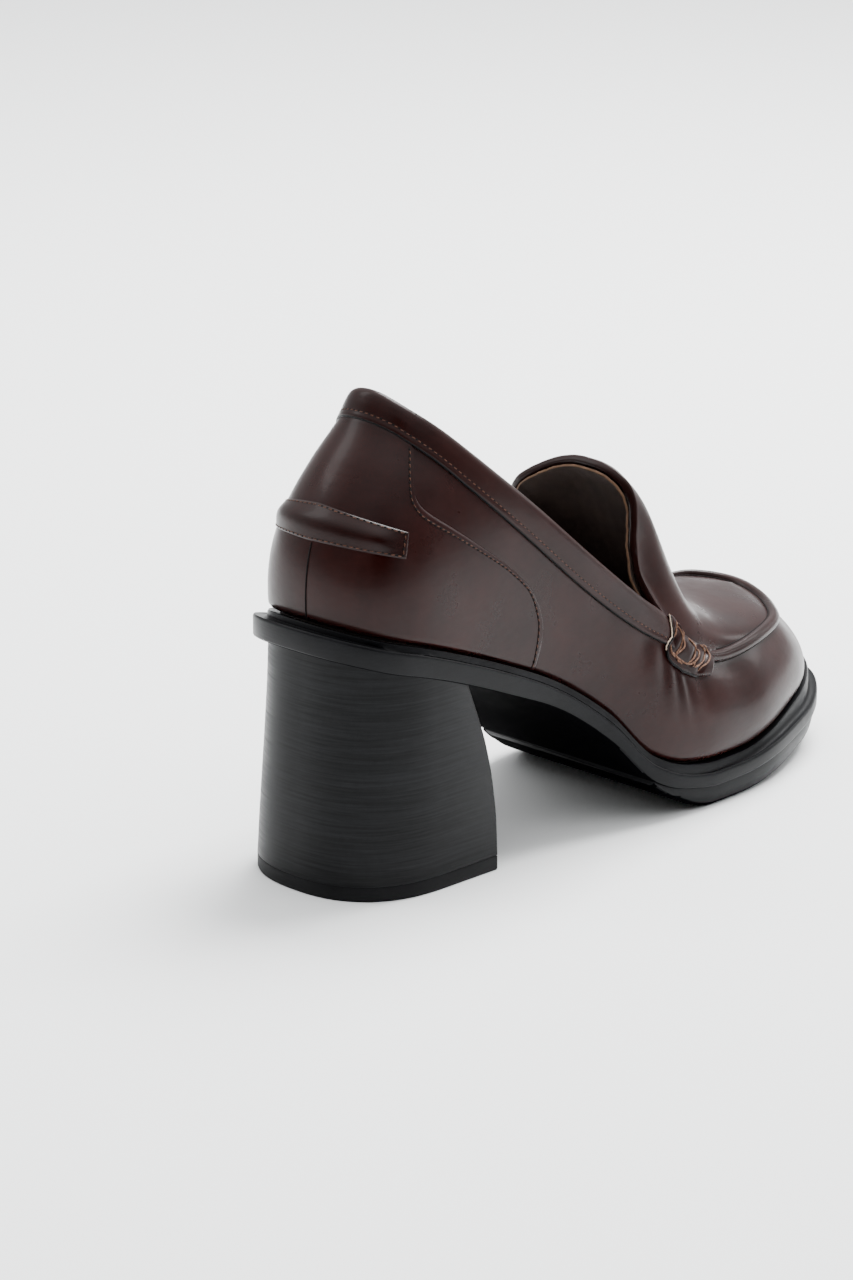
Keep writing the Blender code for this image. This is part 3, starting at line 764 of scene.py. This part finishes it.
def add_stitches(bm, shade_marks, points, normals):
    """Short threads along a path, each between two small sunk dark balls that paint the shade of the stitch
    holes.
    """
    size = Matrix.Diagonal((STITCH_LENGTH / 2 * MM, THREAD_RADIUS * MM, THREAD_RADIUS * MM, 1))
    hole = Matrix.Translation((STITCH_PITCH / 2 * MM, 0, -0.02 * MM))
    hole_size = Matrix.Diagonal((0.4 * MM, 0.3 * MM, 0.12 * MM, 1))
    for place, direction, normal in stitch_path(points, normals):
        ahead = Vector(direction).normalized()
        up = Vector(normal).normalized()
        side = up.cross(ahead).normalized()
        ahead = (ahead + side * STITCH_LEAN).normalized()
        side = up.cross(ahead).normalized()
        up = ahead.cross(side)
        turn = Matrix((ahead, side, up)).transposed().to_4x4()
        middle = Matrix.Translation(Vector(place) * MM) @ turn
        add_copy(bm, ball("bead", 6), middle @ size @ BEAD_TURN)
        # The dark ball paints the shade inside the stitch hole.
        add_copy(shade_marks, ball("hole", 4), middle @ hole @ hole_size)


@functools.lru_cache(maxsize=None)
def ball(name, rows):
    """A small ball that threads and holes are copied from."""
    bm = bmesh.new()
    bmesh.ops.create_uvsphere(bm, u_segments=8, v_segments=rows, radius=1.0)
    mesh = bpy.data.meshes.new(name)
    bm.to_mesh(mesh)
    bm.free()
    return mesh


def add_copy(bm, shape, matrix):
    mesh = shape.copy()
    mesh.transform(matrix)
    bm.from_mesh(mesh)
    bpy.data.meshes.remove(mesh)


def make_upper():
    bm = bmesh.new()
    sheet(bm, np.linspace(-TIP, TIP, 361), np.linspace(0, 1, 61), skin)
    front = np.linspace(COLLAR_END, TIP, 91)
    across = np.linspace(0, 1, 49)
    sheet(bm, front, across, apron_skin)
    sheet(bm, front, across, lambda q, w: apron_skin(-q, w))
    piece = finish_piece("upper_skin", bm, [LEATHER, LINING], ["upper"], flip_to=MIDDLE)
    add_wall_thickness(piece, WALL, inner=1, round_off=0.7)


def tongue(s, share, side, height):
    """Points at a distance s ahead of the tongue's free edge, or behind it where negative."""
    q = (COLLAR_END + np.maximum(s, 0) / 8) * side
    points = apron_skin(q, share, height)
    edge = np.full(len(share), float(COLLAR_END))
    step = apron_skin(edge * side, share, height) - apron_skin((edge + 0.1) * side, share, height)
    return points + unit(step) * np.maximum(-s, 0)[:, None]


def edge_stations(count):
    """Shares and sides along the tongue's free edge, from the lateral seam to the medial one."""
    share = np.linspace(0.0, 1, count)
    return np.concatenate([share, share[::-1][1:]]), np.concatenate([np.ones(count), -np.ones(count - 1)])


# Section of the tongue's turned edge: distance ahead of the free edge, height over the apron.
FOLD_OUTER = ((1.2, -0.35), (0.1, 0.02), (-0.45, -0.35), (-0.6, -1.3), (-0.45, -2.2))
FOLD_INNER = ((0.1, -2.75), (3.2, -2.8), (3.2, -1.9), (1.2, -1.4))


def make_fold():
    """The tongue's turned edge, which stops at a notch a little above the collar."""
    bm = bmesh.new()
    outline = rounded(FOLD_OUTER + FOLD_INNER, width=0.5)
    rings = []
    for share, side in zip(*edge_stations(61)):
        back = 1.5 * (1 - ease(0.225, 0.262, share))
        rows = outline + np.array([back, 0.0])
        rings.append(tongue(rows[:, 0], np.full(len(rows), share), np.full(len(rows), side), rows[:, 1]))
    loft(bm, np.array(rings))
    finish_piece("tongue_fold", bm, [TRIM])


def make_lining():
    """The tongue's lining, just short of its turned edge, with a raw tan edge."""
    bm = bmesh.new()
    share, side = edge_stations(49)
    ahead = np.concatenate([[0.15, 0.6, 1.2], np.linspace(2.4, 30, 24)])

    def inside(s, place):
        k = np.rint(place).astype(int)
        wave = 0.12 * np.sin(share[k] * 61) + 0.08 * np.sin(share[k] * 143 + 1)
        return tongue(s + wave, share[k], side[k], -3.25 + 0.5 * wave + 1.2 * ease(3, 14, s))

    sheet(bm, ahead, np.arange(len(share)), inside)
    piece = finish_piece("tongue_lining", bm, [LINING, TAN], flip_to=MIDDLE)
    add_wall_thickness(piece, 0.8, rim=1)


BINDING_STATIONS = np.linspace(-COLLAR_END + 0.02, COLLAR_END - 0.02, 181)

# Section of the strip on the wall: distance above its lower edge, height; then its turn over the topline:
# distance below the topline, height.
BINDING_OUTER = ((0.0, -0.1), (0.0, 0.86), (0.8, 1.0), (2.0, 0.93), (3.4, 1.08))
BINDING_TURN = ((2.0, 1.1), (0.5, 0.8), (-0.45, 0.0), (-0.6, -1.0), (-0.2, -1.9))
BINDING_INNER = ((1.2, -2.4), (5.0, -2.2), (5.2, -1.2))


def make_binding():
    bm = bmesh.new()

    def section(q):
        width = binding_width(q)
        outer = [(width - back, height) for back, height in BINDING_OUTER]
        return rounded([*outer, (width * 0.45, 1.18), *BINDING_TURN, *BINDING_INNER], width=0.6)

    section_loft(bm, BINDING_STATIONS, section, collar)
    finish_piece("collar_strip", bm, [TRIM], ["collar_binding"])


def make_binding_edge():
    """The strip's painted lower edge."""
    bm = bmesh.new()

    def section(q):
        width = binding_width(q)
        low, high = width + 0.22, width - 0.1
        return rounded([(low, -0.1), (low, 0.7), (high, 0.98), (high, -0.1)], 3, 0.2)

    section_loft(bm, BINDING_STATIONS, section, collar)
    finish_piece("collar_strip_edge", bm, [EDGE])


# Roughly how many millimetres the whole wall and one station measure, at the counter's edge and at the tab.
WALL_SPAN = (55, 62)
STATION_SPAN = (13, 12)


def counter_top(q):
    q = np.abs(q)
    limit = down(q, binding_width(q) - 1.0)
    edge = np.where(q < COUNTER_TOP[0][0], 1.0, curve(COUNTER_TOP, 1, q))
    return np.minimum(edge, limit)


def make_counter():
    bm = bmesh.new()
    ends = np.array([row[0] for row in COUNTER_TOP])
    side = np.unique(np.concatenate([np.linspace(ends[0], ends[-1], 60), ends]))
    q = np.concatenate([-side[::-1], np.linspace(-ends[0], ends[0], 61)[1:-1], side])
    rows = np.concatenate([np.linspace(0, 0.95, 44), [0.965, 0.98, 0.99, 1.0]])
    edge = counter_top(q)

    def place(station, share):
        high = np.interp(station, q, edge)
        v = 0.02 + (high - 0.02) * share
        reach = (high - v) * WALL_SPAN[0]
        ahead = (ends[-1] - np.abs(station)) * STATION_SPAN[0]
        rise = COUNTER_RISE * ease(-0.1, 0.7, np.minimum(reach, ahead)) - 0.1
        return skin(station, v, rise)

    sheet(bm, q, rows, place)
    piece = finish_piece(
        "counter_leather", bm, [LEATHER], ["counter_panel"], flip_to=MIDDLE
    )
    add_wall_thickness(piece, 0.4)


# Lower and upper edge of the heel tab at the back and at its ends, as shares of the wall's height.
TAB_BACK = (0.372, 0.533)
TAB_TIP = (0.390, 0.510)


def tab_edges(q):
    share = np.clip(np.abs(q) / TAB_END, 0, 1)
    return tuple(back + (tip - back) * share for back, tip in zip(TAB_BACK, TAB_TIP))


def make_tab():
    bm = bmesh.new()

    def place(q, share):
        low, high = tab_edges(q)
        v = low + (high - low) * share
        reach = np.minimum(share, 1 - share) * (high - low) * WALL_SPAN[1]
        ahead = (TAB_END - np.abs(q)) * STATION_SPAN[1]
        edge = ease(-0.1, 0.7, np.minimum(reach, ahead))
        puff = np.sin(math.pi * share) ** 1.6 * ease(0.5, 9.0, ahead)
        return skin(q, v, 0.25 + TAB_EDGE * edge + TAB_PUFF * puff)

    sheet(bm, np.linspace(-TAB_END, TAB_END, 161), np.linspace(0, 1, 61), place)
    piece = finish_piece("heel_band", bm, [TRIM], ["heel_tab"], flip_to=MIDDLE)
    add_wall_thickness(piece, 0.5)


def make_back_seam_shade():
    """The closing seam down the middle of the back, a dark line that paints the shade of its groove."""
    bm = bmesh.new()
    v = np.linspace(0.012, TAB_BACK[0], 40)
    tube(bm, skin(np.full(len(v), 0.13), v, 0.46), SEAM_RADIUS)
    finish_piece("back_seam_shade", bm, [GROOVE_SHADE])


def make_ridge():
    bm = bmesh.new()
    half = RIDGE_WIDTH / 2
    lateral = [(half - 0.1, -0.4), (half + 0.15, 0.7), (half - 0.1, 1.6), (half * 0.45, RIDGE_RISE * 0.98)]
    medial = [(-half * 0.3, RIDGE_RISE), (-half * 0.8, RIDGE_RISE * 0.8), (-half, 0.8), (-half, -0.4)]
    outline = rounded(lateral + medial, width=0.7)

    def section(q):
        return outline

    stations = np.linspace(RIDGE_START - 0.4, 2 * TIP - RIDGE_START + 0.4, 200)
    stations = np.where(stations <= TIP, stations, stations - 2 * TIP)
    section_loft(bm, stations, section, seam)
    finish_piece("apron_seam", bm, [TRIM], ["apron_ridge"])
    # Dark lines along both sides of the ridge paint the shade in its creases.
    crease_shade = bmesh.new()
    for s, height in ((half + 0.1, 0.02), (-half - 0.05, 0.12)):
        tube(crease_shade, seam(stations, s, height), SEAM_RADIUS)
    finish_piece("seam_crease_shade", crease_shade, [GROOVE_SHADE])


# Outline of a roll patch: share down the patch, its rear station and its front station.
ROLL_ENDS = (
    (0.00, 9.10, 11.90),
    (0.20, 9.04, 11.86),
    (0.45, 8.92, 11.66),
    (0.62, 8.68, 11.46),
    (0.80, 8.54, 11.30),
    (0.92, 8.56, 11.18),
    (1.00, 8.74, 11.10),
)

# Where the whip stitches draw the roll in: station at the seam.
ROLL_DIPS = (9.57, 10.05, 10.76, 11.20)
DIP_LEAN = 0.085


def roll_height(q, s):
    """Height of a roll patch at distance s down the wall from the seam."""
    q = np.abs(q)
    rise = ROLL_RISE * curve(ROLL, 3, q)
    round_top = np.clip(1 - ((s - 2.5) / 9.0) ** 2, 0, 1)
    puff = 0.9 + (rise - 0.9) * round_top
    for dip in ROLL_DIPS:
        puff = puff - 0.75 * round_top * np.exp(-(((q + DIP_LEAN * s - dip) / 0.10) ** 2))
    return puff


def roll_place(side, a, b):
    """Station and distance from the seam at shares a (rear to front) and b (top to bottom) of a patch."""
    rear, front = curve(ROLL_ENDS, 1, b), curve(ROLL_ENDS, 2, b)
    q = rear + (front - rear) * a
    depth = ROLL_DEPTH * 1.03 * curve(ROLL, 1, q)
    reach = ROLL_DEPTH * curve(ROLL, 2, q)
    return q * side, depth * b - reach * (1 - b)


def make_roll(side, name, node):
    bm = bmesh.new()

    def place(a, b):
        inner = np.minimum(np.minimum(a, 1 - a) * 60, np.minimum(b, 1 - b) * 30)
        q, s = roll_place(side, np.clip(a, 0, 1), np.clip(b, 0, 1))
        return seam(q, s, roll_height(q, s) * ease(-0.5, 1.0, inner) - 0.25)

    fine = np.concatenate([[0, 0.008, 0.018], np.linspace(0.035, 0.965, 88), [0.982, 0.992, 1.0]])
    rows = np.concatenate([[0, 0.015, 0.035], np.linspace(0.06, 0.94, 44), [0.965, 0.985, 1.0]])
    sheet(bm, fine, rows, place)
    piece = finish_piece(name, bm, [TRIM], [node], flip_to=(0, along(0.5), 0))
    add_wall_thickness(piece, 0.7)


def make_roll_edges():
    """Painted edge of each roll patch with the pale raw layer under it, whose pale colour also paints the
    highlight its edge catches.
    """
    dark = bmesh.new()
    pale = bmesh.new()
    for side in (1, -1):
        b = np.linspace(0.02, 1, 50)
        a = np.linspace(0, 0.72, 50)[1:]
        turn_a = np.concatenate([np.zeros(len(b)), a])
        turn_b = np.concatenate([b, np.ones(len(a))])
        q, s = roll_place(side, turn_a, turn_b)
        fade = ease(1.0, 0.75, turn_a / 0.72)
        lapped = 1 - ease(0.45, 0.75, turn_b)
        tube(dark, seam(q - side * 0.01, s + 0.1, 0.35 + 0.3 * fade + 0.75 * lapped), 0.40)
        b = np.linspace(0.02, 0.80, 40)
        q, s = roll_place(side, np.zeros(len(b)), b)
        wave = 0.010 * np.sin(np.arange(len(b)) * 1.3)
        lapped = 1 - ease(0.45, 0.75, b)
        # The pale raw layer, its light colour partly a painted highlight along the edge.
        tube(pale, seam(q - side * (0.07 + wave), s, 0.80 + 0.62 * lapped), 0.22)
    finish_piece("roll_edges", dark, [EDGE])
    finish_piece("roll_raw_edge_and_highlight", pale, [RAW_EDGE_AND_HIGHLIGHT])


def split(y):
    """Joint between the sole unit and the forefoot's lower layer."""
    share = (y - SEAT_BACK) / LAST_LENGTH
    step = ease(0.42, 0.58, share)
    return level(y, 3) + (level(y, 2) - LIP - level(y, 3)) * step


def sole_points(q):
    """One side's outline of the sole unit at stations q, from the upper out, down and in."""
    flare = ring(q)[:, 8]
    open_channel = ease(RAND + 0.9, RAND + 1.6, flare)

    def at(out, column, drop):
        points = foot(q, out)
        points[:, 2] = (split(points[:, 1]) if column == 0 else level(points[:, 1], column)) + drop
        return points

    rand = np.minimum(RAND, flare - 0.6)
    step = np.minimum(RAND + 0.2, flare - 0.5)
    channel = np.where(open_channel > 0, np.maximum(RAND + 0.35, flare * 0.55), flare - 0.45)
    return [
        at(-WALL, 1, -0.3),
        at(rand - 0.9, 1, 0.15),
        at(rand - 0.3, 1, 0.1),
        at(rand, 1, -0.5),
        at(step, 2, 0.3),
        at(channel, 2, 0.25 - 0.55 * open_channel),
        at(flare - 0.85, 2, 0.0),
        at(flare - 0.45, 2, 0.05),
        at(flare - 0.1, 2, -0.35),
        at(flare, 2, -0.9),
        at(flare, 0, 0.7),
        at(flare - 0.15, 0, 0.25),
        at(flare - 0.7, 0, 0.0),
    ]


def slab(stations, section):
    """A solid across the last from one side's outline."""
    bm = bmesh.new()
    loft(bm, np.stack(section(stations) + section(-stations)[::-1], axis=1))
    return bm


def make_sole():
    bm = slab(np.linspace(0, TIP, 181), sole_points)
    finish_piece("sole_unit", bm, [RUBBER, SHADED_UNDERSIDE], ["sole"], angle=55)


def outsole_points(q):
    inset = ring(q)[:, 8] - 1.0
    points = []
    for out, rise in ((inset - 1.2, 0.3), (inset - 0.2, 0.3), (inset, -0.3), (inset, -2.4)):
        point = foot(q, out)
        ceiling = split(point[:, 1])
        point[:, 2] = np.maximum(ceiling + rise, level(point[:, 1], 3) + 0.6)
        points.append(point)
    for out, rise in ((inset - 0.5, 1.3), (inset - 1.5, 0.35), (inset - 2.8, 0.0)):
        point = foot(q, out)
        point[:, 2] = np.minimum(level(point[:, 1], 3) + rise, split(point[:, 1]) - 0.2)
        points.append(point)
    return points


def make_outsole():
    bm = slab(np.linspace(OUTSOLE_START, TIP, 101), outsole_points)
    finish_piece("lower_sole", bm, [RUBBER, SHADED_UNDERSIDE], ["outsole"], angle=55)


def insole_points(q):
    points = []
    for out, rise in ((-WALL - 1.6, 2.0), (-WALL - 1.0, 1.4), (-WALL - 0.3, 0.0)):
        point = foot(q, out)
        point[:, 2] = level(point[:, 1], 1) + rise
        points.append(point)
    return points


def make_insole():
    bm = slab(np.linspace(0, TIP, 121), insole_points)
    finish_piece("sock", bm, [SOCK], ["insole"], angle=50)


def heel_plan(share, grow=0.0):
    """Plan of the heel at a share of its height, its breast corners drawn round."""
    half = HEEL_WIDTH * curve(HEEL, 1, share) + grow
    back = HEEL_LENGTH * curve(HEEL, 2, share) - grow
    breast = HEEL_LENGTH * curve(HEEL, 3, share) + grow
    middle = HEEL_LENGTH * 0.10
    angle = np.linspace(0, math.pi, 97)
    c, s = np.cos(angle), np.sin(angle)
    x = np.sign(c) * np.abs(c) ** (2 / HEEL_ROUND) * half
    y = middle - np.abs(s) ** (2 / HEEL_ROUND) * (middle - back)
    near, far = BREAST_CORNER, 0.3 * BREAST_CORNER
    left = [(-half, breast - near), (-half + far, breast - far), (-half + near, breast)]
    flat = [(value, breast) for value in np.linspace(-half + 2, half - 2, 13)]
    right = [(-across, ahead) for across, ahead in left[::-1]]
    return np.vstack([left + flat + right, np.column_stack([x, y])])


def make_heel():
    bm = bmesh.new()
    rings = []
    low = LIFT + 0.05
    for share in np.concatenate([[0, 0.003], np.linspace(0.02, 1.0, 50)]):
        plan = heel_plan(share, -0.12 if share == 0 else 0.0)
        z = low + (level(plan[:, 1], 3) - low) * share
        rings.append(np.column_stack([plan, z]))
    loft(bm, np.array(rings))
    finish_piece("heel_stack", bm, [STACK], ["heel_block"], angle=45)
    bm = bmesh.new()
    rings = []
    for z, grow in ((0.0, -0.5), (0.12, -0.15), (0.5, 0.0), (LIFT - 0.25, 0.0), (LIFT, -0.2)):
        plan = heel_plan(0.0, grow)
        rings.append(np.column_stack([plan, np.full(len(plan), z)]))
    loft(bm, np.array(rings))
    finish_piece("heel_lift", bm, [LIFT_RUBBER], ["top_lift"], angle=45)


def make_stitching():
    bm = bmesh.new()
    shade_marks = bmesh.new()
    q = np.linspace(-COLLAR_END + 0.15, COLLAR_END - 0.15, 240)
    s = binding_width(q) - BINDING_STITCH
    add_stitches(bm, shade_marks, collar(q, s, 0.88), facing(wall, q, down(q, s)))
    # A dark line under the strip's stitches paints the shade of their groove.
    tube(shade_marks, collar(q, s, 0.78), THREAD_RADIUS)
    v = np.array([row[0] for row in COUNTER_STITCH])
    fine = np.linspace(v[0], v[-1], 160)
    station = curve(COUNTER_STITCH, 1, fine)

    def add_row(q, v, height):
        add_stitches(bm, shade_marks, skin(q, v, height), facing(wall, q, v))

    for side in (1, -1):
        add_row(station * side, fine, COUNTER_RISE)
        # A dark line along the counter's stitches paints the shade of their groove.
        tube(shade_marks, skin(station * side, fine, 0.38), SEAM_RADIUS)
    for side in (1, -1):
        reach = np.linspace(0, TAB_END - 0.1, 50) * side
        low, high = tab_edges(reach)
        low, high = low + TAB_STITCH, high - TAB_STITCH
        add_row(reach, low, TAB_RISE)
        add_row(reach, high, TAB_RISE)
        across = np.linspace(low[-1], high[-1], 12)
        add_row(np.full(len(across), reach[-1]), across, TAB_RISE)
    finish_piece("stitching", bm, [THREAD])
    finish_piece("painted_hole_shade", shade_marks, [GROOVE_SHADE])


def tube(bm, points, radius, sides=8):
    """A round thread along points in millimetres, its ends closed."""
    ahead = np.gradient(points, axis=0)
    ahead /= np.linalg.norm(ahead, axis=1)[:, None]
    up = np.array([0.3, 0.2, 0.93])
    rings = []
    for k, (place, direction) in enumerate(zip(points, ahead)):
        side = np.cross(direction, up)
        side /= np.linalg.norm(side)
        rise = np.cross(side, direction)
        angle = np.linspace(0, 2 * math.pi, sides, endpoint=False)
        size = radius * (0.35 if k in (0, len(points) - 1) else 1.0)
        rings.append(place + np.outer(np.cos(angle), side) * size + np.outer(np.sin(angle), rise) * size)
    loft(bm, np.array(rings))


# Whip stitches over each roll patch: station and distance from the seam at points along each thread.
WHIPS = (
    ((9.42, -0.5), (9.32, 3.0), (9.00, 7.4), (8.74, 10.8), (8.74, 12.4), (8.95, 13.4)),
    ((9.50, -1.0), (9.56, 3.5), (9.46, 6.8), (9.20, 9.8), (8.95, 12.5)),
    ((9.92, -1.6), (9.80, 3.0), (9.58, 6.8), (9.22, 10.3), (9.00, 12.4), (9.05, 13.8), (9.40, 13.0)),
    ((10.46, -2.6), (10.66, -1.0), (10.55, 2.3), (10.28, 5.9), (9.80, 10.2)),
    ((10.70, -2.8), (10.74, 0.8), (10.56, 4.0), (10.24, 7.4), (10.12, 9.4)),
    ((11.10, -3.2), (11.17, -0.9), (10.98, 2.6), (10.56, 6.3), (10.18, 9.2)),
    ((11.24, -3.4), (11.38, -2.0), (11.28, 1.0), (11.02, 3.9), (10.62, 6.9), (10.42, 8.9)),
    ((8.78, 12.0), (9.01, 12.8), (9.43, 12.0), (9.92, 9.8), (10.32, 6.6)),
)


def make_whips():
    bm = bmesh.new()
    for side in (1, -1):
        for path in WHIPS:
            rows = tuple((k, *place) for k, place in enumerate(path))
            t = np.linspace(0, len(path) - 1, 26)
            q, s = curve(rows, 1, t) * side, curve(rows, 2, t)
            ends = np.clip(np.minimum(t, t[-1] - t) / 0.35, 0, 1)
            tube(bm, seam(q, s, roll_height(q, s) - 0.12 - 0.6 * (1 - ends)), WHIP_RADIUS)
    finish_piece("whip_stitches", bm, [WHIP_THREAD])


class Sky(Finish):
    """The room's light by direction."""

    def __init__(self, name):
        self.world = bpy.data.worlds.new(name)
        self.world.use_nodes = True
        self.tree = self.world.node_tree
        self.ground = self.tree.nodes["Background"]

    def lobe(self, toward, low, high):
        """1 near a direction, falling to 0 away from it."""
        where = self.node("ShaderNodeTexCoord", output="Generated")
        sockets = {0: where, 1: toward}
        near = self.node("ShaderNodeVectorMath", {"operation": "DOT_PRODUCT"}, sockets, output="Value")
        ends = {"Value": near, "From Min": low, "From Max": high}
        return self.node("ShaderNodeMapRange", {"interpolation_type": "SMOOTHSTEP"}, ends)


# Lamps: name, place, aim, size in metres, power in watts.
LAMPS = (
    ("overhead", (-0.15, 0.85, 1.4), (0, 0.08, 0.05), (0.9, 0.9), 76),
    ("ahead", (0.40, 1.55, 0.66), (0, 0.08, 0.07), (0.4, 0.5), 3.6),
    ("left", (-1.05, -0.7, 1.15), (0, 0.0, 0.1), (0.4, 0.7), 4),
)

# The camera looks from behind the lateral side, 45 degrees round and 17.5 degrees down.
EYE = (0.8254, -0.7973, 0.4315)
EYE_TURN = (math.radians(90 - 17.5), 0, math.radians(45))
FOCAL_LENGTH = 117.14


def make_room():
    """Pale sweep, soft lights and the camera."""
    bm = bmesh.new()
    bmesh.ops.create_grid(bm, x_segments=1, y_segments=1, size=6.0)
    mesh = bpy.data.meshes.new("floor")
    bm.to_mesh(mesh)
    bm.free()
    floor = Finish("floor", {"Roughness": 0.8, "Base Color": (0.88, 0.89, 0.89), "IOR": 1.2})
    mesh.materials.append(floor.material)
    ground = bpy.data.objects.new("floor", mesh)
    bpy.context.scene.collection.objects.link(ground)

    sky = Sky("room")
    behind = sky.lobe((0.3, -0.95, 0.1), 0.3, 0.8)
    right = sky.lobe((0.98, -0.15, 0.25), 0.7, 0.97)
    beside = sky.lobe((0.80, 0.60, 0.0), 0.85, 0.99)
    bright = 1.0 + sky.lobe((0, 0, 1), 0.3, 1.0) * 1.7 - behind * 0.92 - right * 0.6 - beside * 0.45
    sky.plug(sky.ground.inputs["Color"], (0.97, 0.978, 0.985))
    sky.plug(sky.ground.inputs["Strength"], bright)
    bpy.context.scene.world = sky.world

    for name, place, aim, size, power in LAMPS:
        lamp = bpy.data.lights.new(name, "AREA")
        lamp.shape = "RECTANGLE"
        lamp.size, lamp.size_y = size
        lamp.energy = power
        thing = bpy.data.objects.new(name, lamp)
        thing.location = place
        thing.rotation_euler = (Vector(aim) - Vector(place)).to_track_quat("-Z", "Y").to_euler()
        bpy.context.scene.collection.objects.link(thing)

    lens = bpy.data.cameras.new("camera")
    lens.lens = FOCAL_LENGTH
    lens.clip_end = 50
    eye = bpy.data.objects.new("camera", lens)
    eye.location = EYE
    eye.rotation_euler = EYE_TURN
    bpy.context.scene.collection.objects.link(eye)
    bpy.context.scene.camera = eye


make_upper()
make_fold()
make_lining()
make_binding()
make_binding_edge()
make_counter()
make_tab()
make_back_seam_shade()
make_ridge()
make_roll(1, "roll_lateral", "roll_patch_lateral")
make_roll(-1, "roll_medial", "roll_patch_medial")
make_roll_edges()
make_sole()
make_outsole()
make_insole()
make_heel()
make_stitching()
make_whips()
make_room()
